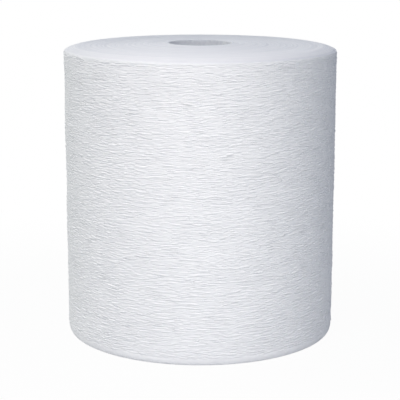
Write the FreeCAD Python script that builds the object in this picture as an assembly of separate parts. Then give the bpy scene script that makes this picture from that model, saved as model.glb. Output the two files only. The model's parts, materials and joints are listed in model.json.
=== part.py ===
# Roll of creped paper towel standing on one end: a long web wound tight on a board core.
# Lengths are in millimetres and angles in degrees. The origin is on the roll's axis in the
# plane that it stands on, and +Z runs up the axis.
import FreeCAD, Part
import math
import os

# Driving dimensions of the wound web
web_width = 203.2
roll_diameter = 191.0
sheet_thickness = 0.4
tail_direction = 118.0

# Driving dimensions of the core
core_bore_diameter = 44.5
core_wall = 1.3

# The inner turns have slid up the roll a little, and most of all at the core: how far, and how
# deep a layer of turns on the outside lies level
core_slide = 1.6
level_turns_depth = 35.5

# Softened outer edges, where the outermost turns have been pressed over by handling
top_edge_reach = 8.0
top_edge_drop = 3.6
base_edge_bevel = 1.5

# Turn lines: a few rings of groove in each end stand for the edges of hundreds of turns, each so
# much thinner than its radius that it shows as a ring
turn_line_pitch = 10.5
turn_line_width = 0.8
turn_line_depth = 0.35

# How far a cutting tool runs past the face that it opens
cut_overrun = 0.2

# Sizes that follow from the driving dimensions
core_bore_radius = core_bore_diameter / 2
core_outer_radius = core_bore_radius + core_wall
roll_radius = roll_diameter / 2
slid_turns_radius = roll_radius - level_turns_depth

parts_folder = "parts"
base_centre = FreeCAD.Vector(0, 0, 0)
up = FreeCAD.Vector(0, 0, 1)
full_turn = 360
half_turn = 180


def point(x, z):
    """A point of a section, which is drawn in the XZ plane."""
    return FreeCAD.Vector(x, 0, z)


def line(start, end):
    """A straight edge of a section."""
    return Part.LineSegment(start, end).toShape()


def arc(centre, start, end):
    """The shorter arc about centre from start to end."""
    outwards = (start - centre) + (end - centre)
    middle = centre + outwards.normalize() * start.distanceToPoint(centre)
    return Part.Arc(start, middle, end).toShape()


def pressed_edge(side_end, flat_end):
    """Two tangent arcs, close to a quarter of an ellipse, from the upright side up to the level top."""
    reach = side_end.x - flat_end.x
    drop = flat_end.z - side_end.z
    chord = math.hypot(reach, drop)
    side_radius = chord / (2 * reach) * (chord - reach + drop)
    flat_radius = chord / (2 * drop) * (chord + reach - drop)
    side_centre = side_end - point(side_radius, 0)
    flat_centre = flat_end - point(0, flat_radius)
    meeting = flat_centre + point(drop, reach) * (flat_radius / chord)
    return [arc(side_centre, side_end, meeting), arc(flat_centre, meeting, flat_end)]


def section(edges):
    """The flat face inside a closed chain of edges."""
    return Part.Face(Part.Wire(Part.sortEdges(edges)[0]))


def outline(corners):
    """The flat face inside straight edges from each corner to the next."""
    return section([line(start, end) for start, end in zip(corners, corners[1:] + corners[:1])])


def slide_at(radius):
    """How far the turn at this radius has slid up: evenly less from the core to the level turns."""
    share = (slid_turns_radius - radius) / (slid_turns_radius - core_outer_radius)
    return core_slide * max(share, 0)


def slid_turns():
    """The inner turns, from the seat on the core out to where the turns lie level."""
    outer_base = point(slid_turns_radius, 0)
    outer_top = point(slid_turns_radius, web_width)
    inner_top = point(core_outer_radius, web_width + core_slide)
    inner_base = point(core_outer_radius, core_slide)
    return outline([outer_base, outer_top, inner_top, inner_base]).revolve(base_centre, up, full_turn)


def level_section(centre_x, outer_x):
    """Section of the roll with level ends, from centre_x out to outer_x."""
    base_flat_end = point(outer_x - base_edge_bevel, 0)
    base_side_end = point(outer_x, base_edge_bevel)
    top_side_end = point(outer_x, web_width - top_edge_drop)
    top_flat_end = point(outer_x - top_edge_reach, web_width)
    centre_base = point(centre_x, 0)
    centre_top = point(centre_x, web_width)
    edges = [
        line(centre_base, base_flat_end),
        line(base_flat_end, base_side_end),
        line(base_side_end, top_side_end),
        *pressed_edge(top_side_end, top_flat_end),
        line(top_flat_end, centre_top),
        line(centre_top, centre_base),
    ]
    return section(edges)


def level_turns():
    """The turns that lie level. Their outside is one turn of the web's spiral.

    It is made of two half circles with centres a quarter of a sheet to either side of the axis,
    which run on into each other on -X, and leave the tail's edge as a step of one sheet on +X.
    """
    offset = sheet_thickness / 4
    under_tail = level_section(-offset, roll_radius - sheet_thickness)
    under_tail = under_tail.revolve(point(-offset, 0), up, half_turn)
    to_tail = level_section(offset, roll_radius)
    to_tail = to_tail.revolve(point(offset, 0), up, -half_turn)
    inside = Part.makeCylinder(slid_turns_radius, web_width)
    return under_tail.fuse(to_tail).cut(inside)


def turn_line(radius, level, inwards):
    """Ring of V section that cuts one turn line into the end at level. inwards is -1 or 1."""
    end_z = level + slide_at(radius)
    open_z = end_z - inwards * cut_overrun
    open_half_width = turn_line_width / 2 * (turn_line_depth + cut_overrun) / turn_line_depth
    tip = point(radius, end_z + inwards * turn_line_depth)
    inner = point(radius - open_half_width, open_z)
    outer = point(radius + open_half_width, open_z)
    return outline([inner, outer, tip]).revolve(base_centre, up, full_turn)


def turn_lines(level, inwards):
    """The turn lines in one end, from near the core out to the soft edge."""
    first_radius = core_outer_radius + turn_line_pitch / 2
    last_radius = roll_radius - top_edge_reach - turn_line_width
    count = int((last_radius - first_radius) / turn_line_pitch) + 1
    return [turn_line(first_radius + k * turn_line_pitch, level, inwards) for k in range(count)]


def towel_web():
    """The whole wound web, with the lines of its turns in both ends and the tail turned to its place."""
    web = level_turns().fuse(slid_turns()).removeSplitter()
    web = web.cut(turn_lines(web_width, -1) + turn_lines(0, 1))
    web.rotate(base_centre, up, tail_direction)
    return web


def core_tube():
    """The board tube that the web is wound on, as wide as the web and slid up with its first turns."""
    foot = point(0, core_slide)
    outside = Part.makeCylinder(core_outer_radius, web_width, foot)
    bore = Part.makeCylinder(core_bore_radius, web_width, foot)
    return outside.cut(bore)


def main():
    """Builds both pieces and writes one STEP file for each."""
    os.makedirs(parts_folder, exist_ok=True)
    pieces = {"towel_web": towel_web(), "core_tube": core_tube()}
    for name, shape in pieces.items():
        shape.exportStep(os.path.join(parts_folder, name + ".step"))
        print(name, "valid", shape.isValid(), "solids", len(shape.Solids), "volume", round(shape.Volume))


main()
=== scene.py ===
"""Looks of a creped paper towel roll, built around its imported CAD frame.

The classes of the roll hold their sizes in millimetres and turn them to metres as they make their
meshes. The studio is in metres. The origin is on the roll's axis, in the plane of the floor.
"""

import json
import logging
import math
from dataclasses import dataclass
from enum import Enum, IntEnum
from typing import Any, Sequence

import bpy
import numpy as np
from mathutils import Matrix, Vector


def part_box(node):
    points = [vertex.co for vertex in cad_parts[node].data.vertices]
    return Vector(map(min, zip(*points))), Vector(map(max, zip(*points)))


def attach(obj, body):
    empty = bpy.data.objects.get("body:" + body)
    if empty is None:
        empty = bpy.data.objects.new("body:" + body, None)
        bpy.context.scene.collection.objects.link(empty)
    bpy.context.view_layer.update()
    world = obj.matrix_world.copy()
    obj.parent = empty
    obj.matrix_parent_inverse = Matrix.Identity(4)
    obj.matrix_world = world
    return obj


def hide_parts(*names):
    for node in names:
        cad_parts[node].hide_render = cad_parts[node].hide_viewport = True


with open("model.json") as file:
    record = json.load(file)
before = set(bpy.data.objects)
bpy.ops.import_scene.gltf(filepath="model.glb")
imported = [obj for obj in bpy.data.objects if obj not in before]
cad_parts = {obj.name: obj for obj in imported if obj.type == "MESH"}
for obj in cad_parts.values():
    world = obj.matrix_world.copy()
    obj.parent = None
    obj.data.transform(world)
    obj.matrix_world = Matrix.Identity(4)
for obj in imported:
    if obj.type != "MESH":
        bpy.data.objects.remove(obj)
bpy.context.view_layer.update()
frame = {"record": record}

LOG = logging.getLogger("towel_roll")
SIDE_MAP = "side_mm"
MM = 0.001
FULL_TURN = 2 * math.pi
QUARTER_TURN = FULL_TURN / 4
FACE_CORNERS = 4

# Waves per millimetre that stand in for none at all, whose logarithm can't be taken
NO_WAVES = 1e-6

# A Mix node has sockets of one name for each type that it mixes, so its colours go by number
MIX_COLOUR_A = 6
MIX_COLOUR_B = 7
MIXED_COLOUR = 2

SocketInput = bpy.types.NodeSocket | float | Sequence[float]


class Half(Enum):
    """The two halves in which the creped side is built, one above the other."""

    LOWER = "lower"
    UPPER = "upper"


class OuterFinish(IntEnum):
    """The finishes of the outer turns, by their place in a ring's list of materials."""

    SIDE = 0
    ENDS = 1


def linear(hex_colour: str) -> tuple[float, float, float, float]:
    """Turn an sRGB hex colour into the linear colour that shaders take.

    Args:
        hex_colour: Six hex digits, such as "#EDEEF2".

    Returns:
        Linear red, green, blue, and an alpha of 1.
    """
    channels = [int(hex_colour[start:start + 2], 16) / 255 for start in (1, 3, 5)]
    # The curve of the sRGB standard: straight close to black, and a power above that
    red, green, blue = (
        value / 12.92 if value <= 0.04045 else ((value + 0.055) / 1.055) ** 2.4
        for value in channels
    )
    return (red, green, blue, 1.0)


def smooth_step(values: np.ndarray) -> np.ndarray:
    """Ease values from 0 to 1, level at both ends and held outside them.

    Args:
        values: Any numbers.

    Returns:
        The eased numbers, from 0 to 1.
    """
    held = np.clip(values, 0.0, 1.0)
    return held * held * (3.0 - 2.0 * held)


def read_rows(values: np.ndarray, places: np.ndarray) -> np.ndarray:
    """Read a grid between its rows.

    Args:
        values: The grid.
        places: Row to read at, with its fraction, for each place of the result. The result has as
            many columns as the grid.

    Returns:
        The values read, straight between the two nearest rows.
    """
    # A hair short of the last row, so that each place has a row above it
    last_place = values.shape[0] - 1.001
    held = np.clip(places, 0.0, last_place)
    row = held.astype(int)
    share = held - row
    column = np.arange(values.shape[1])[None, :]
    return values[row, column] * (1.0 - share) + values[row + 1, column] * share


def add_node(
    tree: bpy.types.NodeTree,
    kind: str,
    inputs: dict[str | int, SocketInput] | None = None,
    **settings: Any,
) -> bpy.types.Node:
    """Add a shader node with its settings, input values and incoming links.

    Args:
        tree: The node tree that the node goes into.
        kind: Blender's name of the node type.
        inputs: Socket name or number, and a value for it or the output that feeds it.
        settings: Properties of the node itself.

    Returns:
        The new node.
    """
    node = tree.nodes.new(kind)
    for name, value in settings.items():
        setattr(node, name, value)
    for key, value in (inputs or {}).items():
        if isinstance(value, bpy.types.NodeSocket):
            tree.links.new(value, node.inputs[key])
        else:
            node.inputs[key].default_value = value
    return node


def new_material(name: str) -> bpy.types.Material:
    """Make a material with an empty node tree.

    Args:
        name: What the material is and how its surface was made.

    Returns:
        The material, with nodes on and none in its tree.
    """
    material = bpy.data.materials.new(name)
    material.use_nodes = True
    material.node_tree.nodes.clear()
    return material


def seen_ray(tree: bpy.types.NodeTree) -> bpy.types.NodeSocket:
    """Tell the rays that show the background itself from those that carry its light.

    Args:
        tree: The node tree that the nodes go into.

    Returns:
        An output that is 1 for camera, glossy and transmission rays, and 0 for the rest.
    """
    rays = add_node(tree, "ShaderNodeLightPath").outputs
    seen = rays["Is Camera Ray"]
    for kind in ("Is Glossy Ray", "Is Transmission Ray"):
        seen = add_node(tree, "ShaderNodeMath", {0: seen, 1: rays[kind]}, operation="MAXIMUM").outputs[0]
    return seen


@dataclass(frozen=True)
class CrepedTowelPaper:
    """Bleached towel paper, scraped off its drying cylinder by a blade, which crepes it.

    To the eye it is a dead matt, faintly cool white. The ridges are in the mesh, and the bump here
    adds the finer crimp between them and the fibres.
    """

    name: str = "creped_bleached_towel_paper"
    colour: str = "#F3F4F7"
    thin_colour: str = "#ECEDF1"
    roughness: float = 0.92
    specular: float = 0.1
    cloud_mm: float = 9.0
    # How far a fold of the crimp runs round the roll, and from one fold up to the next
    crimp_mm: tuple[float, float] = (7.0, 0.9)
    crimp_height_mm: float = 0.05
    # Fibres are some 0.03 mm wide, and are drawn as coarse as the camera can tell apart
    fibre_mm: float = 0.7
    fibre_height_mm: float = 0.02

    def material(self) -> bpy.types.Material:
        """Build the material from its sizes and colours.

        Returns:
            The material.
        """
        material = new_material(self.name)
        tree = material.node_tree
        side = add_node(tree, "ShaderNodeUVMap", uv_map=SIDE_MAP).outputs["UV"]
        # Paper is thicker and thinner in soft clouds, where the fibres settled as it was made
        clouds = add_node(
            tree, "ShaderNodeTexNoise", {"Vector": side, "Scale": 1 / self.cloud_mm, "Detail": 3.0}
        )
        colour = add_node(
            tree,
            "ShaderNodeMix",
            {
                "Factor": clouds.outputs["Fac"],
                MIX_COLOUR_A: linear(self.thin_colour),
                MIX_COLOUR_B: linear(self.colour),
            },
            data_type="RGBA",
        )
        along, across = self.crimp_mm
        stretched = add_node(
            tree, "ShaderNodeMapping", {"Vector": side, "Scale": (1 / along, 1 / across, 1.0)}
        )
        crimp = add_node(
            tree, "ShaderNodeTexNoise", {"Vector": stretched.outputs["Vector"], "Scale": 1.0, "Detail": 2.0}
        )
        crimp_bump = add_node(
            tree,
            "ShaderNodeBump",
            {"Height": crimp.outputs["Fac"], "Distance": self.crimp_height_mm * MM},
        )
        fibres = add_node(
            tree, "ShaderNodeTexNoise", {"Vector": side, "Scale": 1 / self.fibre_mm, "Detail": 4.0}
        )
        fibre_bump = add_node(
            tree,
            "ShaderNodeBump",
            {
                "Height": fibres.outputs["Fac"],
                "Distance": self.fibre_height_mm * MM,
                "Normal": crimp_bump.outputs["Normal"],
            },
        )
        shader = add_node(
            tree,
            "ShaderNodeBsdfPrincipled",
            {
                "Base Color": colour.outputs[MIXED_COLOUR],
                "Roughness": self.roughness,
                "Specular IOR Level": self.specular,
                "Normal": fibre_bump.outputs["Normal"],
            },
        )
        add_node(tree, "ShaderNodeOutputMaterial", {"Surface": shader.outputs["BSDF"]})
        return material


@dataclass(frozen=True)
class SawnTowelEnds:
    """The ends of the same paper, where a disc saw cut the log of towel into rolls.

    To the eye it is a soft matt white, a little greyer than the side, with hair-thin lines round
    it where turns lie looser or tighter. The lines sink a little, and are painted darker there as
    painted shade. Between the lines the saw has left a fine nap.
    """

    name: str = "sawn_towel_paper_turns"
    colour: str = "#F2F3F7"
    # Painted shade: the colour of the lines where they sink, darker than the paper itself
    sunk_line_shade_colour: str = "#E4E6ED"
    roughness: float = 0.95
    specular: float = 0.1
    # How far a line runs before it changes, and from one line out to the next. A turn is about
    # 0.15 mm thick, and the lines are drawn four turns apart to show at all
    line_mm: tuple[float, float] = (400.0, 0.6)
    line_height_mm: float = 0.05
    # Span of the noise over which its colour goes from the painted shade of a sunk line to that of the
    # paper
    line_span: tuple[float, float] = (0.3, 0.6)
    # The nap is under 0.1 mm fine, and is drawn as coarse as the camera can tell apart
    nap_mm: float = 0.5
    nap_height_mm: float = 0.03

    def material(self) -> bpy.types.Material:
        """Build the material from its sizes and colours.

        Returns:
            The material.
        """
        material = new_material(self.name)
        tree = material.node_tree
        place = add_node(tree, "ShaderNodeTexCoord").outputs["Object"]
        axes = add_node(tree, "ShaderNodeSeparateXYZ", {0: place}).outputs
        flat = add_node(tree, "ShaderNodeCombineXYZ", {"X": axes["X"], "Y": axes["Y"]}).outputs[0]
        radius = add_node(tree, "ShaderNodeVectorMath", {0: flat}, operation="LENGTH").outputs["Value"]
        # With the radius as its third axis, the noise is drawn out into rings round the core
        wound = add_node(tree, "ShaderNodeCombineXYZ", {"X": axes["X"], "Y": axes["Y"], "Z": radius})
        along, across = self.line_mm
        stretched = add_node(
            tree,
            "ShaderNodeMapping",
            {
                "Vector": wound.outputs[0],
                "Scale": (1 / (along * MM), 1 / (along * MM), 1 / (across * MM)),
            },
        )
        lines = add_node(
            tree, "ShaderNodeTexNoise", {"Vector": stretched.outputs["Vector"], "Scale": 1.0, "Detail": 3.0}
        )
        lowest, highest = self.line_span
        contrast = add_node(
            tree,
            "ShaderNodeMapRange",
            {"Value": lines.outputs["Fac"], "From Min": lowest, "From Max": highest},
            interpolation_type="SMOOTHSTEP",
        )
        # The lines are darkest where the same noise sinks them in the bump below: painted shade
        colour = add_node(
            tree,
            "ShaderNodeMix",
            {
                "Factor": contrast.outputs["Result"],
                MIX_COLOUR_A: linear(self.sunk_line_shade_colour),
                MIX_COLOUR_B: linear(self.colour),
            },
            data_type="RGBA",
        )
        line_bump = add_node(
            tree,
            "ShaderNodeBump",
            {"Height": lines.outputs["Fac"], "Distance": self.line_height_mm * MM},
        )
        nap = add_node(
            tree, "ShaderNodeTexNoise", {"Vector": place, "Scale": 1 / (self.nap_mm * MM), "Detail": 3.0}
        )
        nap_bump = add_node(
            tree,
            "ShaderNodeBump",
            {
                "Height": nap.outputs["Fac"],
                "Distance": self.nap_height_mm * MM,
                "Normal": line_bump.outputs["Normal"],
            },
        )
        shader = add_node(
            tree,
            "ShaderNodeBsdfPrincipled",
            {
                "Base Color": colour.outputs[MIXED_COLOUR],
                "Roughness": self.roughness,
                "Specular IOR Level": self.specular,
                "Normal": nap_bump.outputs["Normal"],
            },
        )
        add_node(tree, "ShaderNodeOutputMaterial", {"Surface": shader.outputs["BSDF"]})
        return material


@dataclass(frozen=True)
class SpiralWoundGreyboard:
    """Recycled board, wound in a spiral on a mandrel and glued.

    To the eye it is a flat blue grey, flecked with darker fibre and slightly polished where it
    slid on the mandrel. Its colours are written paler than a sheet of such board, as painted
    light, because it is seen only in the shade of its own bore.
    """

    name: str = "spiral_wound_greyboard"
    # Painted light: both colours are lifted above the board's own grey, to make up for the shade in its
    # bore
    colour: str = "#EAECF1"
    dark_colour: str = "#E2E4EB"
    roughness: float = 0.8
    specular: float = 0.2
    fleck_mm: float = 1.6
    # Span of the noise over which its colour goes from that of a fleck to that of the board
    fleck_span: tuple[float, float] = (0.35, 0.6)
    # Fibres are some 0.03 mm wide, and are drawn as coarse as the camera can tell apart
    fibre_mm: float = 0.5
    fibre_height_mm: float = 0.03

    def material(self) -> bpy.types.Material:
        """Build the material from its sizes and colours.

        Returns:
            The material.
        """
        material = new_material(self.name)
        tree = material.node_tree
        place = add_node(tree, "ShaderNodeTexCoord").outputs["Object"]
        flecks = add_node(
            tree, "ShaderNodeTexNoise", {"Vector": place, "Scale": 1 / (self.fleck_mm * MM), "Detail": 5.0}
        )
        lowest, highest = self.fleck_span
        contrast = add_node(
            tree,
            "ShaderNodeMapRange",
            {"Value": flecks.outputs["Fac"], "From Min": lowest, "From Max": highest},
        )
        # The board and its flecks are mixed here in their lifted colours, which are painted light
        colour = add_node(
            tree,
            "ShaderNodeMix",
            {
                "Factor": contrast.outputs["Result"],
                MIX_COLOUR_A: linear(self.dark_colour),
                MIX_COLOUR_B: linear(self.colour),
            },
            data_type="RGBA",
        )
        fibres = add_node(
            tree, "ShaderNodeTexNoise", {"Vector": place, "Scale": 1 / (self.fibre_mm * MM), "Detail": 3.0}
        )
        bump = add_node(
            tree,
            "ShaderNodeBump",
            {"Height": fibres.outputs["Fac"], "Distance": self.fibre_height_mm * MM},
        )
        shader = add_node(
            tree,
            "ShaderNodeBsdfPrincipled",
            {
                "Base Color": colour.outputs[MIXED_COLOUR],
                "Roughness": self.roughness,
                "Specular IOR Level": self.specular,
                "Normal": bump.outputs["Normal"],
            },
        )
        add_node(tree, "ShaderNodeOutputMaterial", {"Surface": shader.outputs["BSDF"]})
        return material


@dataclass(frozen=True)
class StudioSweep:
    """A pale studio sweep of matt painted board.

    The camera sees it burnt out to white, all but the roll's soft shadow close to its foot. It
    lights the roll from below as plain pale board does.
    """

    name: str = "matt_painted_sweep"
    colour: str = "#CFD0D2"
    # Share of the board's own shade that shows near the roll, and the distances from the middle,
    # in metres, between which it dies away
    shadow_share: float = 0.04
    shadow_reach: tuple[float, float] = (0.12, 0.42)

    def material(self) -> bpy.types.Material:
        """Build the material from its colour and how much of its own shade it shows.

        Returns:
            The material.
        """
        material = new_material(self.name)
        tree = material.node_tree
        board = add_node(tree, "ShaderNodeBsdfDiffuse", {"Color": linear(self.colour)})
        glow = add_node(tree, "ShaderNodeEmission", {"Strength": 1.0})
        place = add_node(tree, "ShaderNodeTexCoord").outputs["Object"]
        away = add_node(tree, "ShaderNodeVectorMath", {0: place}, operation="LENGTH").outputs["Value"]
        near, far = self.shadow_reach
        white = add_node(
            tree,
            "ShaderNodeMapRange",
            {
                "Value": away,
                "From Min": near,
                "From Max": far,
                "To Min": 1.0 - self.shadow_share,
                "To Max": 1.0,
            },
            interpolation_type="SMOOTHSTEP",
        ).outputs["Result"]
        share = add_node(tree, "ShaderNodeMath", {0: seen_ray(tree), 1: white}, operation="MULTIPLY")
        mixed = add_node(
            tree,
            "ShaderNodeMixShader",
            {0: share.outputs[0], 1: board.outputs["BSDF"], 2: glow.outputs["Emission"]},
        )
        add_node(tree, "ShaderNodeOutputMaterial", {"Surface": mixed.outputs["Shader"]})
        return material


@dataclass(frozen=True)
class Relief:
    """A seeded field of ridges on a grid. Sizes are in millimetres.

    The ridges run along the rows, each of which goes once round the roll and closes on itself.

    Attributes:
        wave: Distance from crest to crest.
        spread: How far that distance strays, as the spread of its natural logarithm.
        length: Waves along a ridge that are shorter than this are damped away.
        rms: Root mean square of the heights.
        seed: Seed of the noise that the ridges are taken from.
        evenness: How firmly high ridges are held down towards the low ones, from 0, not at all.
        lean: How much steeper the upper flank of a ridge is than the lower, from 0, no steeper.
    """

    wave: float
    spread: float
    length: float
    rms: float
    seed: int
    evenness: float = 0.0
    lean: float = 0.0

    def sample(self, shape: tuple[int, int], row_step: float, column_step: float) -> np.ndarray:
        """Make the field on a grid.

        Args:
            shape: Number of rows and of columns.
            row_step: Distance from one row to the next.
            column_step: Distance from one column to the next.

        Returns:
            Heights of the field, one for each place of the grid.
        """
        noise = np.random.default_rng(self.seed).standard_normal(shape)
        across = np.abs(np.fft.fftfreq(shape[0], row_step))[:, None]
        along = np.fft.rfftfreq(shape[1], column_step)[None, :]
        off_wave = np.log(np.maximum(across, NO_WAVES) * self.wave)
        band = np.exp(-0.5 * (off_wave / self.spread) ** 2 - 0.5 * (along * self.length) ** 2)
        spectrum = np.fft.rfft2(noise) * band
        heights = np.fft.irfft2(spectrum, s=shape)
        # A copy turned by a quarter of a wave gives the swing at each place, also between crests
        quarter = -1j * np.sign(np.fft.fftfreq(shape[0]))[:, None]
        turned = np.fft.irfft2(spectrum * quarter, s=shape)
        swing = heights**2 + turned**2
        heights = heights + self.lean * heights * turned / np.sqrt(swing)
        heights = heights / np.sqrt(1.0 + self.evenness * swing / swing.mean())
        return heights * (self.rms / heights.std())


@dataclass(frozen=True)
class Waver:
    """A seeded rise and fall along one line, which closes on itself. Sizes are in millimetres.

    Attributes:
        length: Waves that are shorter than this are damped away.
        rms: Root mean square of the heights, about their mean.
        seed: Seed of the noise that they are taken from.
    """

    length: float
    rms: float
    seed: int

    def sample(self, columns: int, column_step: float) -> np.ndarray:
        """Make the line.

        Args:
            columns: Number of places along it.
            column_step: Distance from one place to the next.

        Returns:
            Height at each place.
        """
        noise = np.random.default_rng(self.seed).standard_normal(columns)
        along = np.fft.rfftfreq(columns, column_step)
        band = np.exp(-0.5 * (along * self.length) ** 2)
        heights = np.fft.irfft(np.fft.rfft(noise) * band, n=columns)
        return heights * (self.rms / heights.std())


@dataclass(frozen=True)
class Fade:
    """Where a relief of the side comes in and dies out. Sizes are in millimetres.

    Attributes:
        start: Height at which it begins.
        rise: How far above that it is whole.
        fall: How far below the top of the side it begins to die out.
    """

    start: float
    rise: float
    fall: float

    def share(self, levels: np.ndarray, side_top: float) -> np.ndarray:
        """Tell how much of the relief there is at some heights.

        Args:
            levels: The heights.
            side_top: Height of the top of the side.

        Returns:
            A share from 0 to 1 for each height, as the rows of one column.
        """
        coming_in = smooth_step((levels - self.start) / self.rise)
        dying_out = smooth_step((side_top - levels) / self.fall)
        return (coming_in * dying_out)[:, None]


@dataclass(frozen=True)
class Bead:
    """A soft bead round the side, or a groove if its height is below 0. Sizes are in millimetres.

    Attributes:
        offset: How far it lies above the line that it follows.
        half_width: Distance at which it has sunk to about a third of its height.
        height: How far it stands out.
    """

    offset: float
    half_width: float
    height: float

    def profile(self, above: np.ndarray) -> np.ndarray:
        """Trace the bead.

        Args:
            above: How far each place is above the line that the bead follows.

        Returns:
            Millimetres outwards, for each place.
        """
        return self.height * np.exp(-(((above - self.offset) / self.half_width) ** 2))


@dataclass
class TurnedGrid:
    """A closed ring of surface: rows of a section, each row going once round the roll.

    Rows and columns both close on themselves, so the mesh has no open edge. Sizes are in
    millimetres.

    Attributes:
        angles: Angle of each point about the roll's axis, in radians.
        radii: Distance of each point from the roll's axis.
        heights: Height of each point.
        finish_of_row: Place in finishes of the material between each row and the next.
        finishes: Materials of the mesh.
        normals: Normal at each corner of each face, with 0 where Blender is to work it out.
    """

    angles: np.ndarray
    radii: np.ndarray
    heights: np.ndarray
    finish_of_row: np.ndarray
    finishes: list[bpy.types.Material]
    normals: np.ndarray | None = None

    def corners(self) -> tuple[np.ndarray, np.ndarray]:
        """Number the corners of the faces by their rows and columns.

        Returns:
            Row and column of each corner of each face. Past the last row or column they count on,
            where the grid closes on itself.
        """
        rows, columns = self.radii.shape
        row, column = np.meshgrid(np.arange(rows), np.arange(columns), indexing="ij")
        corner_rows = np.stack([row, row, row + 1, row + 1], axis=2)
        corner_columns = np.stack([column, column + 1, column + 1, column], axis=2)
        return corner_rows, corner_columns

    def add_faces(self, mesh: bpy.types.Mesh, map_radius: float) -> None:
        """Fill a mesh with the grid's points, its faces and their map in millimetres.

        Args:
            mesh: The mesh, still empty.
            map_radius: Radius at which the map has its true width.
        """
        rows, columns = self.radii.shape
        across = self.radii * np.cos(self.angles)
        back = self.radii * np.sin(self.angles)
        points = np.stack([across, back, self.heights], axis=2)
        mesh.vertices.add(rows * columns)
        mesh.vertices.foreach_set("co", (points * MM).ravel())
        corner_rows, corner_columns = self.corners()
        corners = (corner_rows % rows) * columns + corner_columns % columns
        mesh.loops.add(corners.size)
        mesh.loops.foreach_set("vertex_index", corners.ravel())
        mesh.polygons.add(rows * columns)
        mesh.polygons.foreach_set("loop_start", np.arange(0, corners.size, FACE_CORNERS))
        mesh.polygons.foreach_set("material_index", np.repeat(self.finish_of_row, columns))
        mesh.polygons.foreach_set("use_smooth", np.ones(rows * columns, dtype=bool))
        around = corner_columns * (FULL_TURN * map_radius / columns)
        up = self.heights.ravel()[corners]
        layer = mesh.uv_layers.new(name=SIDE_MAP)
        layer.data.foreach_set("uv", np.stack([around, up], axis=3).ravel())

    def build(self, name: str, map_radius: float, sharp_angle: float) -> bpy.types.Object:
        """Make the mesh, its surface map and its object.

        Args:
            name: Name of the piece.
            map_radius: Radius at which the map has its true width.
            sharp_angle: Angle between faces, in degrees, from which their edge stays sharp.

        Returns:
            The new object, linked to the scene.
        """
        mesh = bpy.data.meshes.new(name)
        self.add_faces(mesh, map_radius)
        for finish in self.finishes:
            mesh.materials.append(finish)
        mesh.update(calc_edges=True)
        mesh.validate()
        mesh.set_sharp_from_angle(angle=math.radians(sharp_angle))
        if self.normals is not None:
            mesh.normals_split_custom_set(self.normals.reshape(-1, 3))
        piece = bpy.data.objects.new(name, mesh)
        bpy.context.scene.collection.objects.link(piece)
        return piece


@dataclass
class Outside:
    """Rows of points on the outside of the roll, from the base up.

    Attributes:
        radii: Distance of each point from the roll's axis, in millimetres.
        heights: Height of each point, in millimetres.
        normals: Outward normal at each point.
        finish_of_row: Finish between each row and the next, as OuterFinish counts them.
    """

    radii: np.ndarray
    heights: np.ndarray
    normals: np.ndarray
    finish_of_row: np.ndarray

    def rows(self, kept: slice) -> "Outside":
        """Take the rows that a slice keeps, as an outside of their own."""
        return Outside(self.radii[kept], self.heights[kept], self.normals[kept], self.finish_of_row[kept])


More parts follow.
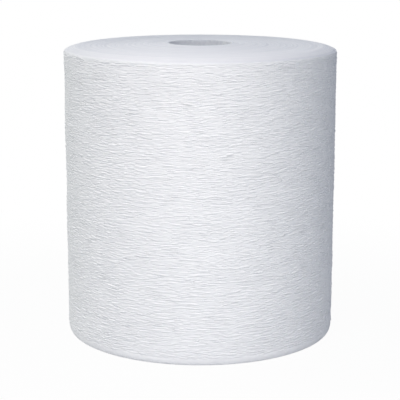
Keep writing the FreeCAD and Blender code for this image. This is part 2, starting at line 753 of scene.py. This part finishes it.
@dataclass
class WoundWeb:
    """The wound towel: its creped side with rounded rims, and the sawn ends of its turns.

    It is built as three closed rings that meet face to face: the lower and the upper half of the
    outer turns, and the inner turns. Sizes are in millimetres.
    """

    height: float
    roll_radius: float
    seat_radius: float
    slide: float

    # Where the turns that have slid up meet the level ones, and how softly, as a share of the
    # width from the core to there
    level_radius: float = 60.0
    slide_ease: float = 0.12

    # The outermost turn grows by one sheet on its way round from the tail, and drops back over the
    # width of the tail's edge
    sheet: float = 0.4
    tail_angle: float = math.radians(118.0)
    tail_edge: float = 0.25

    # The pressed rim at the top, with the share of it that is a straight bevel, and the foot
    top_reach: float = 9.5
    top_drop: float = 3.0
    top_bevel: float = 0.55
    base_reach: float = 1.9
    base_rise: float = 4.4

    # Rows and columns of the meshes. Over the lip, just under the rim, the rows lie closer
    columns: int = 408
    half_rows: int = 214
    top_rim_rows: int = 14
    base_rim_rows: int = 7
    end_rows: int = 90
    lip_height: float = 3.0
    lip_step: float = 0.25

    # Angle between faces, in degrees, from which their edge stays sharp
    sharp_angle: float = 55.0

    # The relief of the side is made on rows of its own, up the whole roll
    relief_rows: int = 1601
    fine_crepe: Relief = Relief(
        wave=1.85, spread=0.22, length=16.0, rms=0.215, seed=11, evenness=5.0, lean=0.3
    )
    coarse_crepe: Relief = Relief(
        wave=3.8, spread=0.3, length=17.0, rms=0.15, seed=15, evenness=5.0, lean=0.6
    )
    crepe_fade: Fade = Fade(start=3.4, rise=2.4, fall=1.4)

    # Ridges wander up and down by the meander. The patches break them up: where their field
    # crosses 0 the ridges die away, and beyond it crests and hollows change places
    meander: Relief = Relief(wave=25.0, spread=0.5, length=30.0, rms=0.25, seed=17)
    patches: Relief = Relief(wave=7.0, spread=0.5, length=9.0, rms=1.0, seed=19)
    patch_softness: float = 0.4

    # The swell is the low waviness of paper that was wound under an uneven pull
    swell: Relief = Relief(wave=60.0, spread=0.5, length=90.0, rms=0.12, seed=12)
    swell_fade: Fade = Fade(start=1.0, rise=6.0, fall=4.0)

    # The cut edge of the outermost sheet flares a little, just under the groove that parts it from
    # the rim. They and the groove at the foot sway up and down, and are deep only in places
    edge_groove: Bead = Bead(offset=0.2, half_width=0.45, height=-0.27)
    edge_flare: Bead = Bead(offset=-0.8, half_width=0.5, height=0.11)
    foot_groove: Bead = Bead(offset=0.5, half_width=0.6, height=-0.16)
    sway: Waver = Waver(length=16.0, rms=0.22, seed=14)
    depth_change: Waver = Waver(length=24.0, rms=0.6, seed=22)
    depth_limits: tuple[float, float] = (0.1, 2.0)

    # In the ends, single turns and whole bands of them stand up or lie back. That dies away next
    # to the core and the rim, over this share of the width
    turns: Relief = Relief(wave=3.2, spread=0.6, length=260.0, rms=0.09, seed=13)
    steps: Relief = Relief(wave=9.0, spread=0.4, length=120.0, rms=0.09, seed=23)
    level_share: float = 0.04

    def angles(self) -> np.ndarray:
        """Angles of the columns, once round from the tail, with the edge of the tail last."""
        edge_width = self.tail_edge / self.roll_radius
        return self.tail_angle + np.linspace(0.0, FULL_TURN - edge_width, self.columns)

    def outer_radius(self) -> np.ndarray:
        """Radius of the outermost turn in each column, which grows by one sheet in a turn."""
        return self.roll_radius - self.sheet * (1.0 - np.linspace(0.0, 1.0, self.columns))

    def section(self) -> tuple[np.ndarray, np.ndarray, int]:
        """Trace the outside of the roll from the level base to the level top.

        Returns:
            Inset from the side and height of each row, and the first row of the top rim.
        """
        side_top = self.height - self.top_drop
        base_turn = np.linspace(0.0, QUARTER_TURN, self.base_rim_rows, endpoint=False)
        top_turn = np.linspace(0.0, QUARTER_TURN, self.top_rim_rows + 1)[1:]
        straight = self.top_bevel * np.linspace(0.0, 1.0, self.top_rim_rows + 1)[1:]
        side = np.linspace(self.base_rise, side_top - self.lip_height, 2 * self.half_rows)
        lip = np.arange(side[-1], side_top, self.lip_step)[1:]
        inset = np.concatenate(
            [
                self.base_reach * (1 - np.sin(base_turn)),
                np.zeros(side.size + lip.size + 1),
                self.top_reach * ((1 - self.top_bevel) * (1 - np.cos(top_turn)) + straight),
            ]
        )
        level = np.concatenate(
            [
                self.base_rise * (1 - np.cos(base_turn)),
                side,
                lip,
                [side_top],
                side_top + self.top_drop * ((1 - self.top_bevel) * np.sin(top_turn) + straight),
            ]
        )
        return inset, level, base_turn.size + side.size + lip.size

    def crepe(self, shape: tuple[int, int], row_step: float, column_step: float) -> np.ndarray:
        """Make the crepe: two bands of level ridges that wander a little and come in patches.

        Args:
            shape: Number of rows and of columns.
            row_step: Distance from one row to the next.
            column_step: Distance from one column to the next.

        Returns:
            Millimetres outwards, for each row and column.
        """
        ridges = self.fine_crepe.sample(shape, row_step, column_step)
        ridges += self.coarse_crepe.sample(shape, row_step, column_step)
        wander = self.meander.sample(shape, row_step, column_step) / row_step
        ridges = read_rows(ridges, np.arange(shape[0])[:, None] + wander)
        patches = self.patches.sample(shape, row_step, column_step)
        return ridges * (patches / np.sqrt(patches**2 + self.patch_softness))

    def side_relief(self) -> tuple[np.ndarray, np.ndarray]:
        """Work out how far the outside stands out from its true section, up the whole roll.

        Returns:
            Height of each row, in even steps, and millimetres outwards for each row and column.
        """
        even = np.linspace(0.0, self.height, self.relief_rows)
        row_step = even[1]
        column_step = FULL_TURN * self.roll_radius / self.columns
        shape = (self.relief_rows, self.columns)
        side_top = self.height - self.top_drop
        relief = self.crepe(shape, row_step, column_step) * self.crepe_fade.share(even, side_top)
        swell = self.swell.sample(shape, row_step, column_step)
        relief += swell * self.swell_fade.share(even, side_top)
        sway = self.sway.sample(self.columns, column_step)
        depth = np.clip(1.0 + self.depth_change.sample(self.columns, column_step), *self.depth_limits)
        above_side = even[:, None] - side_top - sway
        relief += depth * (self.edge_groove.profile(above_side) + self.edge_flare.profile(above_side))
        above_foot = even[:, None] - self.base_rise - sway
        relief += depth * self.foot_groove.profile(above_foot)
        return even, relief

    def outside(self) -> Outside:
        """Lay out the whole outside of the roll.

        The rows are too few to show the finest ridges by themselves, so the normals are worked
        out from the relief's own rows, which lie more than three times as close.

        Returns:
            The rows of the outside.
        """
        inset, level, first_rim = self.section()
        even, relief = self.side_relief()
        row_step = even[1]
        places = np.repeat(level[:, None] / row_step, self.columns, axis=1)
        radii = self.outer_radius()[None, :] - inset[:, None] + read_rows(relief, places)
        heights = np.repeat(level[:, None], self.columns, axis=1)
        angles = self.angles()[None, :]
        points = np.stack([radii * np.cos(angles), radii * np.sin(angles), heights], axis=2)
        up = np.gradient(points, axis=0)
        # Up the side, the relief's own slope takes the place of the slope from row to row
        upright = slice(self.base_rim_rows + 1, first_rim)
        slope = read_rows(np.gradient(relief, row_step, axis=0), places)[upright]
        up[upright] = np.stack(
            [slope * np.cos(angles), slope * np.sin(angles), np.ones_like(slope)], axis=2
        )
        around = np.gradient(points, axis=1)
        normals = np.cross(around, up)
        normals /= np.linalg.norm(normals, axis=2, keepdims=True)
        # The first row lies in the level base
        normals[0] = (0.0, 0.0, -1.0)
        finish_of_row = np.where(np.arange(level.size) < first_rim, OuterFinish.SIDE, OuterFinish.ENDS)
        return Outside(radii, heights, normals, finish_of_row)

    def corner_normals(self, grid: TurnedGrid, normals: np.ndarray) -> np.ndarray:
        """Give the worked-out normals to the faces that show.

        Args:
            grid: A ring of outer turns, whose second row is the first that shows.
            normals: Normal at each point of the rows that show.

        Returns:
            Normal at each corner of each face. It is 0 in faces that don't lie between those rows,
            or that make the edge of the tail.
        """
        rows = normals.shape[0]
        corner_rows, corner_columns = grid.corners()
        in_rows = ((corner_rows >= 1) & (corner_rows <= rows)).all(axis=2)
        in_columns = (corner_columns < self.columns).all(axis=2)
        nearest_row = np.clip(corner_rows - 1, 0, rows - 1)
        at_corners = normals[nearest_row, corner_columns % self.columns]
        return np.where((in_rows & in_columns)[:, :, None, None], at_corners, 0.0)

    def outer_ring(
        self, half: Half, outside: Outside, finishes: list[bpy.types.Material]
    ) -> bpy.types.Object:
        """Build one half of the outer turns.

        Args:
            half: Which half.
            outside: The whole outside of the roll.
            finishes: Materials of the side and of the ends, as OuterFinish counts them.

        Returns:
            The piece.
        """
        split = self.base_rim_rows + self.half_rows
        shown = outside.rows(slice(0, split + 1) if half is Half.LOWER else slice(split, None))
        inner = self.outer_radius() - self.top_reach
        radii = [inner, *shown.radii]
        heights = [shown.heights[0], *shown.heights]
        finish_of_row = [OuterFinish.ENDS, *shown.finish_of_row[:-1], OuterFinish.ENDS]
        if half is Half.LOWER:
            # The upper half comes in to the inner turns by its rim, and the lower by a flat top
            radii.append(inner)
            heights.append(shown.heights[-1])
            finish_of_row.append(OuterFinish.ENDS)
        angles = np.repeat(self.angles()[None, :], len(radii), axis=0)
        grid = TurnedGrid(angles, np.array(radii), np.array(heights), np.array(finish_of_row), finishes)
        grid.normals = self.corner_normals(grid, shown.normals)
        return grid.build(f"outer_turns_{half.value}", self.roll_radius, self.sharp_angle)

    def end_slide(self, share: np.ndarray) -> np.ndarray:
        """Work out how far the turns have slid up the roll.

        Args:
            share: Place of each row from the core, 0, to the rim, 1.

        Returns:
            Millimetres upwards, for each row.
        """
        rim = self.roll_radius - self.top_reach
        radius = self.seat_radius + share * (rim - self.seat_radius)
        left = (self.level_radius - radius) / (self.level_radius - self.seat_radius)
        # Evenly less from the core outwards, with a soft bend where the level turns begin
        eased = np.logaddexp(0.0, left / self.slide_ease) / np.logaddexp(0.0, 1.0 / self.slide_ease)
        return self.slide * eased

    def inner_ring(self, finish: bpy.types.Material) -> bpy.types.Object:
        """Build the turns inside the rim, with the lines of their edges in both ends.

        Args:
            finish: The ends' material.

        Returns:
            The piece.
        """
        share = np.linspace(0.0, 1.0, self.end_rows)
        width = self.outer_radius() - self.top_reach - self.seat_radius
        radii = self.seat_radius + share[:, None] * width[None, :]
        row_step = (self.roll_radius - self.top_reach - self.seat_radius) / self.end_rows
        column_step = FULL_TURN * self.level_radius / self.columns
        relief = self.turns.sample(radii.shape, row_step, column_step)
        relief += self.steps.sample(radii.shape, row_step, column_step)
        held = smooth_step(np.minimum(share, 1 - share) / self.level_share)[:, None]
        slid = self.end_slide(share)
        # In the base the turns only lie back, so that nothing stands below the floor
        base = np.maximum(slid, 0.0)[:, None] - np.minimum(relief * held, 0.0)
        top = self.height + slid[:, None] + relief[::-1] * held
        all_radii = np.concatenate([radii, radii[::-1]])
        heights = np.concatenate([base, top[::-1]])
        rows = all_radii.shape[0]
        angles = np.repeat(self.angles()[None, :], rows, axis=0)
        grid = TurnedGrid(angles, all_radii, heights, np.zeros(rows, dtype=int), [finish])
        return grid.build("inner_turns", self.level_radius, self.sharp_angle)

    def build(self) -> list[bpy.types.Object]:
        """Build the rings in their finishes, riding on the roll's body in place of its solid.

        Returns:
            The three pieces.
        """
        paper = CrepedTowelPaper().material()
        ends = SawnTowelEnds().material()
        outside = self.outside()
        pieces = [self.outer_ring(half, outside, [paper, ends]) for half in Half]
        pieces.append(self.inner_ring(ends))
        for piece in pieces:
            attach(piece, "root")
            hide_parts("towel_web")
        return pieces


@dataclass
class BoardCore:
    """The spiral-wound board tube in the middle of the roll. Sizes are in millimetres."""

    bore_radius: float
    outer_radius: float
    foot: float
    length: float

    # The inner ply goes once round in its pitch, and its edges meet in a seam like a fine groove
    ply_pitch: float = 92.0
    seam_width: float = 0.9
    seam_depth: float = 0.12

    # Unevenness of the bore
    fuzz: Relief = Relief(wave=12.0, spread=0.6, length=20.0, rms=0.03, seed=21)

    rim_round: float = 0.25
    columns: int = 128
    wall_rows: int = 120
    sharp_angle: float = 40.0

    def section(self) -> tuple[np.ndarray, np.ndarray]:
        """Trace the wall, over its top, down the bore and out under its foot.

        Returns:
            Radius and height of each row.
        """
        low = self.foot
        high = self.foot + self.length
        rim = self.rim_round
        bore_levels = np.linspace(low + rim, high - rim, self.wall_rows)[::-1]
        points = [
            (self.outer_radius, high - rim),
            (self.outer_radius - rim, high),
            (self.bore_radius + rim, high),
            *((self.bore_radius, level) for level in bore_levels),
            (self.bore_radius + rim, low),
            (self.outer_radius - rim, low),
            (self.outer_radius, low + rim),
        ]
        radius, level = np.array(points).T
        return radius, level

    def seam(self, angles: np.ndarray, heights: np.ndarray) -> np.ndarray:
        """Cut the helical joint where one edge of the inner ply meets the next.

        Args:
            angles: Angle of each point of the bore.
            heights: Height of each point of the bore.

        Returns:
            Millimetres into the board, for each point.
        """
        turns = heights / self.ply_pitch - angles / FULL_TURN
        off_seam = (turns - np.round(turns)) * self.ply_pitch
        return self.seam_depth * np.exp(-((off_seam / (self.seam_width / 2)) ** 2))

    def build(self) -> bpy.types.Object:
        """Build the tube in its finish, riding on the roll's body in place of its solid.

        Returns:
            The piece.
        """
        radius, level = self.section()
        around = np.linspace(0.0, FULL_TURN, self.columns, endpoint=False)
        angles = np.repeat(around[None, :], radius.size, axis=0)
        radii = np.repeat(radius[:, None], self.columns, axis=1)
        heights = np.repeat(level[:, None], self.columns, axis=1)
        bore = radius <= self.bore_radius
        radii[bore] += self.seam(angles[bore], heights[bore])
        row_step = self.length / radius.size
        column_step = FULL_TURN * self.bore_radius / self.columns
        radii[bore] += self.fuzz.sample(radii.shape, row_step, column_step)[bore]
        board = SpiralWoundGreyboard().material()
        grid = TurnedGrid(angles, radii, heights, np.zeros(radius.size, dtype=int), [board])
        piece = grid.build("board_core", self.bore_radius, self.sharp_angle)
        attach(piece, "root")
        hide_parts("core_tube")
        return piece


@dataclass(frozen=True)
class SoftBox:
    """A rectangular studio light. Places and sizes are in metres, and spread is in degrees."""

    name: str
    place: tuple[float, float, float]
    size: tuple[float, float]
    watts: float
    colour: str = "#FFFFFF"
    aim: tuple[float, float, float] = (0.0, 0.0, 0.1)
    spread: float = 180.0

    def build(self) -> bpy.types.Object:
        """Hang the light in its place, facing its aim.

        Returns:
            The lamp, linked to the scene.
        """
        light = bpy.data.lights.new(self.name, "AREA")
        light.shape = "RECTANGLE"
        light.size, light.size_y = self.size
        light.energy = self.watts
        light.color = linear(self.colour)[:3]
        light.spread = math.radians(self.spread)
        lamp = bpy.data.objects.new(self.name, light)
        bpy.context.scene.collection.objects.link(lamp)
        lamp.location = self.place
        facing = Vector(self.aim) - Vector(self.place)
        lamp.rotation_euler = facing.to_track_quat("-Z", "Y").to_euler()
        return lamp


@dataclass
class Studio:
    """Floor, lights, surroundings and camera. Places and sizes are in metres, angles in radians."""

    floor_size: float = 12.0
    sky_colour: str = "#DFE9FB"
    sky_strength: float = 0.348

    camera_place: tuple[float, float, float] = (0.0, -0.9031, 0.2861)
    camera_pitch: float = 0.2117
    camera_roll: float = 0.0011
    lens_mm: float = 115.64
    sensor_mm: float = 36.0
    clip_range: tuple[float, float] = (0.05, 50.0)

    # The three in front light the side, the one overhead the top, and the rest the flanks and back
    soft_boxes: tuple[SoftBox, ...] = (
        SoftBox(
            name="upper_front",
            place=(-0.05, -0.34, 0.42),
            size=(0.30, 0.20),
            watts=0.425,
            colour="#FFF6EF",
            aim=(0.0, -0.16, -0.15),
            spread=110.0,
        ),
        SoftBox(
            name="front",
            place=(0.0, -0.55, 0.30),
            size=(0.60, 0.10),
            watts=0.225,
            colour="#FDFFF4",
            aim=(0.0, 0.0, 0.0),
            spread=120.0,
        ),
        SoftBox(
            name="lower_front",
            place=(0.0, -0.45, 0.03),
            size=(0.50, 0.05),
            watts=0.28,
            aim=(0.0, 0.0, 0.05),
        ),
        SoftBox(
            name="overhead",
            place=(-0.05, -0.10, 0.60),
            size=(0.30, 0.20),
            watts=0.048,
            aim=(0.0, 0.0, 0.2),
            spread=60.0,
        ),
        SoftBox(
            name="left_rear",
            place=(-1.2, 0.5, 0.6),
            size=(0.8, 1.0),
            watts=7.1,
            colour="#FFFDEC",
        ),
        SoftBox(name="right", place=(1.2, -0.3, 0.3), size=(0.8, 0.8), watts=0.8),
        SoftBox(name="rear", place=(-0.05, 1.2, 0.4), size=(0.8, 0.6), watts=4.8),
    )

    def build_floor(self) -> bpy.types.Object:
        """Lay the white sweep that the roll stands on.

        Returns:
            The floor, linked to the scene.
        """
        half = self.floor_size / 2
        mesh = bpy.data.meshes.new("sweep")
        corners = [(-half, -half, 0.0), (half, -half, 0.0), (half, half, 0.0), (-half, half, 0.0)]
        mesh.from_pydata(corners, [], [(0, 1, 2, 3)])
        mesh.materials.append(StudioSweep().material())
        floor = bpy.data.objects.new("sweep", mesh)
        bpy.context.scene.collection.objects.link(floor)
        return floor

    def build_sky(self) -> None:
        """Surround the set with a soft, cool light that the camera sees as white."""
        world = bpy.data.worlds.new("studio_surroundings")
        bpy.context.scene.world = world
        world.use_nodes = True
        tree = world.node_tree
        tree.nodes.clear()
        light = add_node(
            tree, "ShaderNodeBackground", {"Color": linear(self.sky_colour), "Strength": self.sky_strength}
        )
        white = add_node(tree, "ShaderNodeBackground", {"Color": linear("#FFFFFF"), "Strength": 1.0})
        mixed = add_node(
            tree,
            "ShaderNodeMixShader",
            {0: seen_ray(tree), 1: light.outputs["Background"], 2: white.outputs["Background"]},
        )
        add_node(tree, "ShaderNodeOutputWorld", {"Surface": mixed.outputs["Shader"]})

    def build_camera(self) -> bpy.types.Object:
        """Set up the camera that takes the photograph's view.

        Returns:
            The camera, which the scene now looks through.
        """
        lens = bpy.data.cameras.new("camera")
        lens.sensor_width = self.sensor_mm
        lens.lens = self.lens_mm
        lens.clip_start, lens.clip_end = self.clip_range
        camera = bpy.data.objects.new("camera", lens)
        bpy.context.scene.collection.objects.link(camera)
        upright = Matrix.Rotation(QUARTER_TURN - self.camera_pitch, 4, "X")
        rolled = Matrix.Rotation(self.camera_roll, 4, "Z")
        camera.matrix_world = Matrix.Translation(self.camera_place) @ upright @ rolled
        bpy.context.scene.camera = camera
        return camera

    def build(self) -> None:
        """Build the whole set, lit at a plain level."""
        self.build_floor()
        self.build_sky()
        for soft_box in self.soft_boxes:
            soft_box.build()
        self.build_camera()
        bpy.context.scene.view_settings.view_transform = "Standard"


def mount_radius(name: str) -> float:
    """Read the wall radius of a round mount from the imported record.

    Args:
        name: The mount's name.

    Returns:
        The radius in millimetres.
    """
    mounts = {mount["name"]: mount for mount in frame["record"]["mounts"]}
    return mounts[name]["dims"]["r_mm"]


def main() -> None:
    """Build the roll and its set, and report each piece."""
    logging.basicConfig(level=logging.INFO, format="%(name)s: %(message)s")
    core_low, core_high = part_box("core_tube")
    web_low, web_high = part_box("towel_web")
    foot = core_low.z / MM
    length = (core_high.z - core_low.z) / MM
    seat_radius = (core_high.x - core_low.x) / 2 / MM
    roll_radius = (web_high.y - web_low.y) / 2 / MM
    web = WoundWeb(height=length, roll_radius=roll_radius, seat_radius=seat_radius, slide=foot)
    core = BoardCore(
        bore_radius=mount_radius("core_bore"), outer_radius=seat_radius, foot=foot, length=length
    )
    for piece in [*web.build(), core.build()]:
        LOG.info("%s: %d faces", piece.name, len(piece.data.polygons))
    Studio().build()
    LOG.info("set built")


if __name__ == "__main__":
    main()
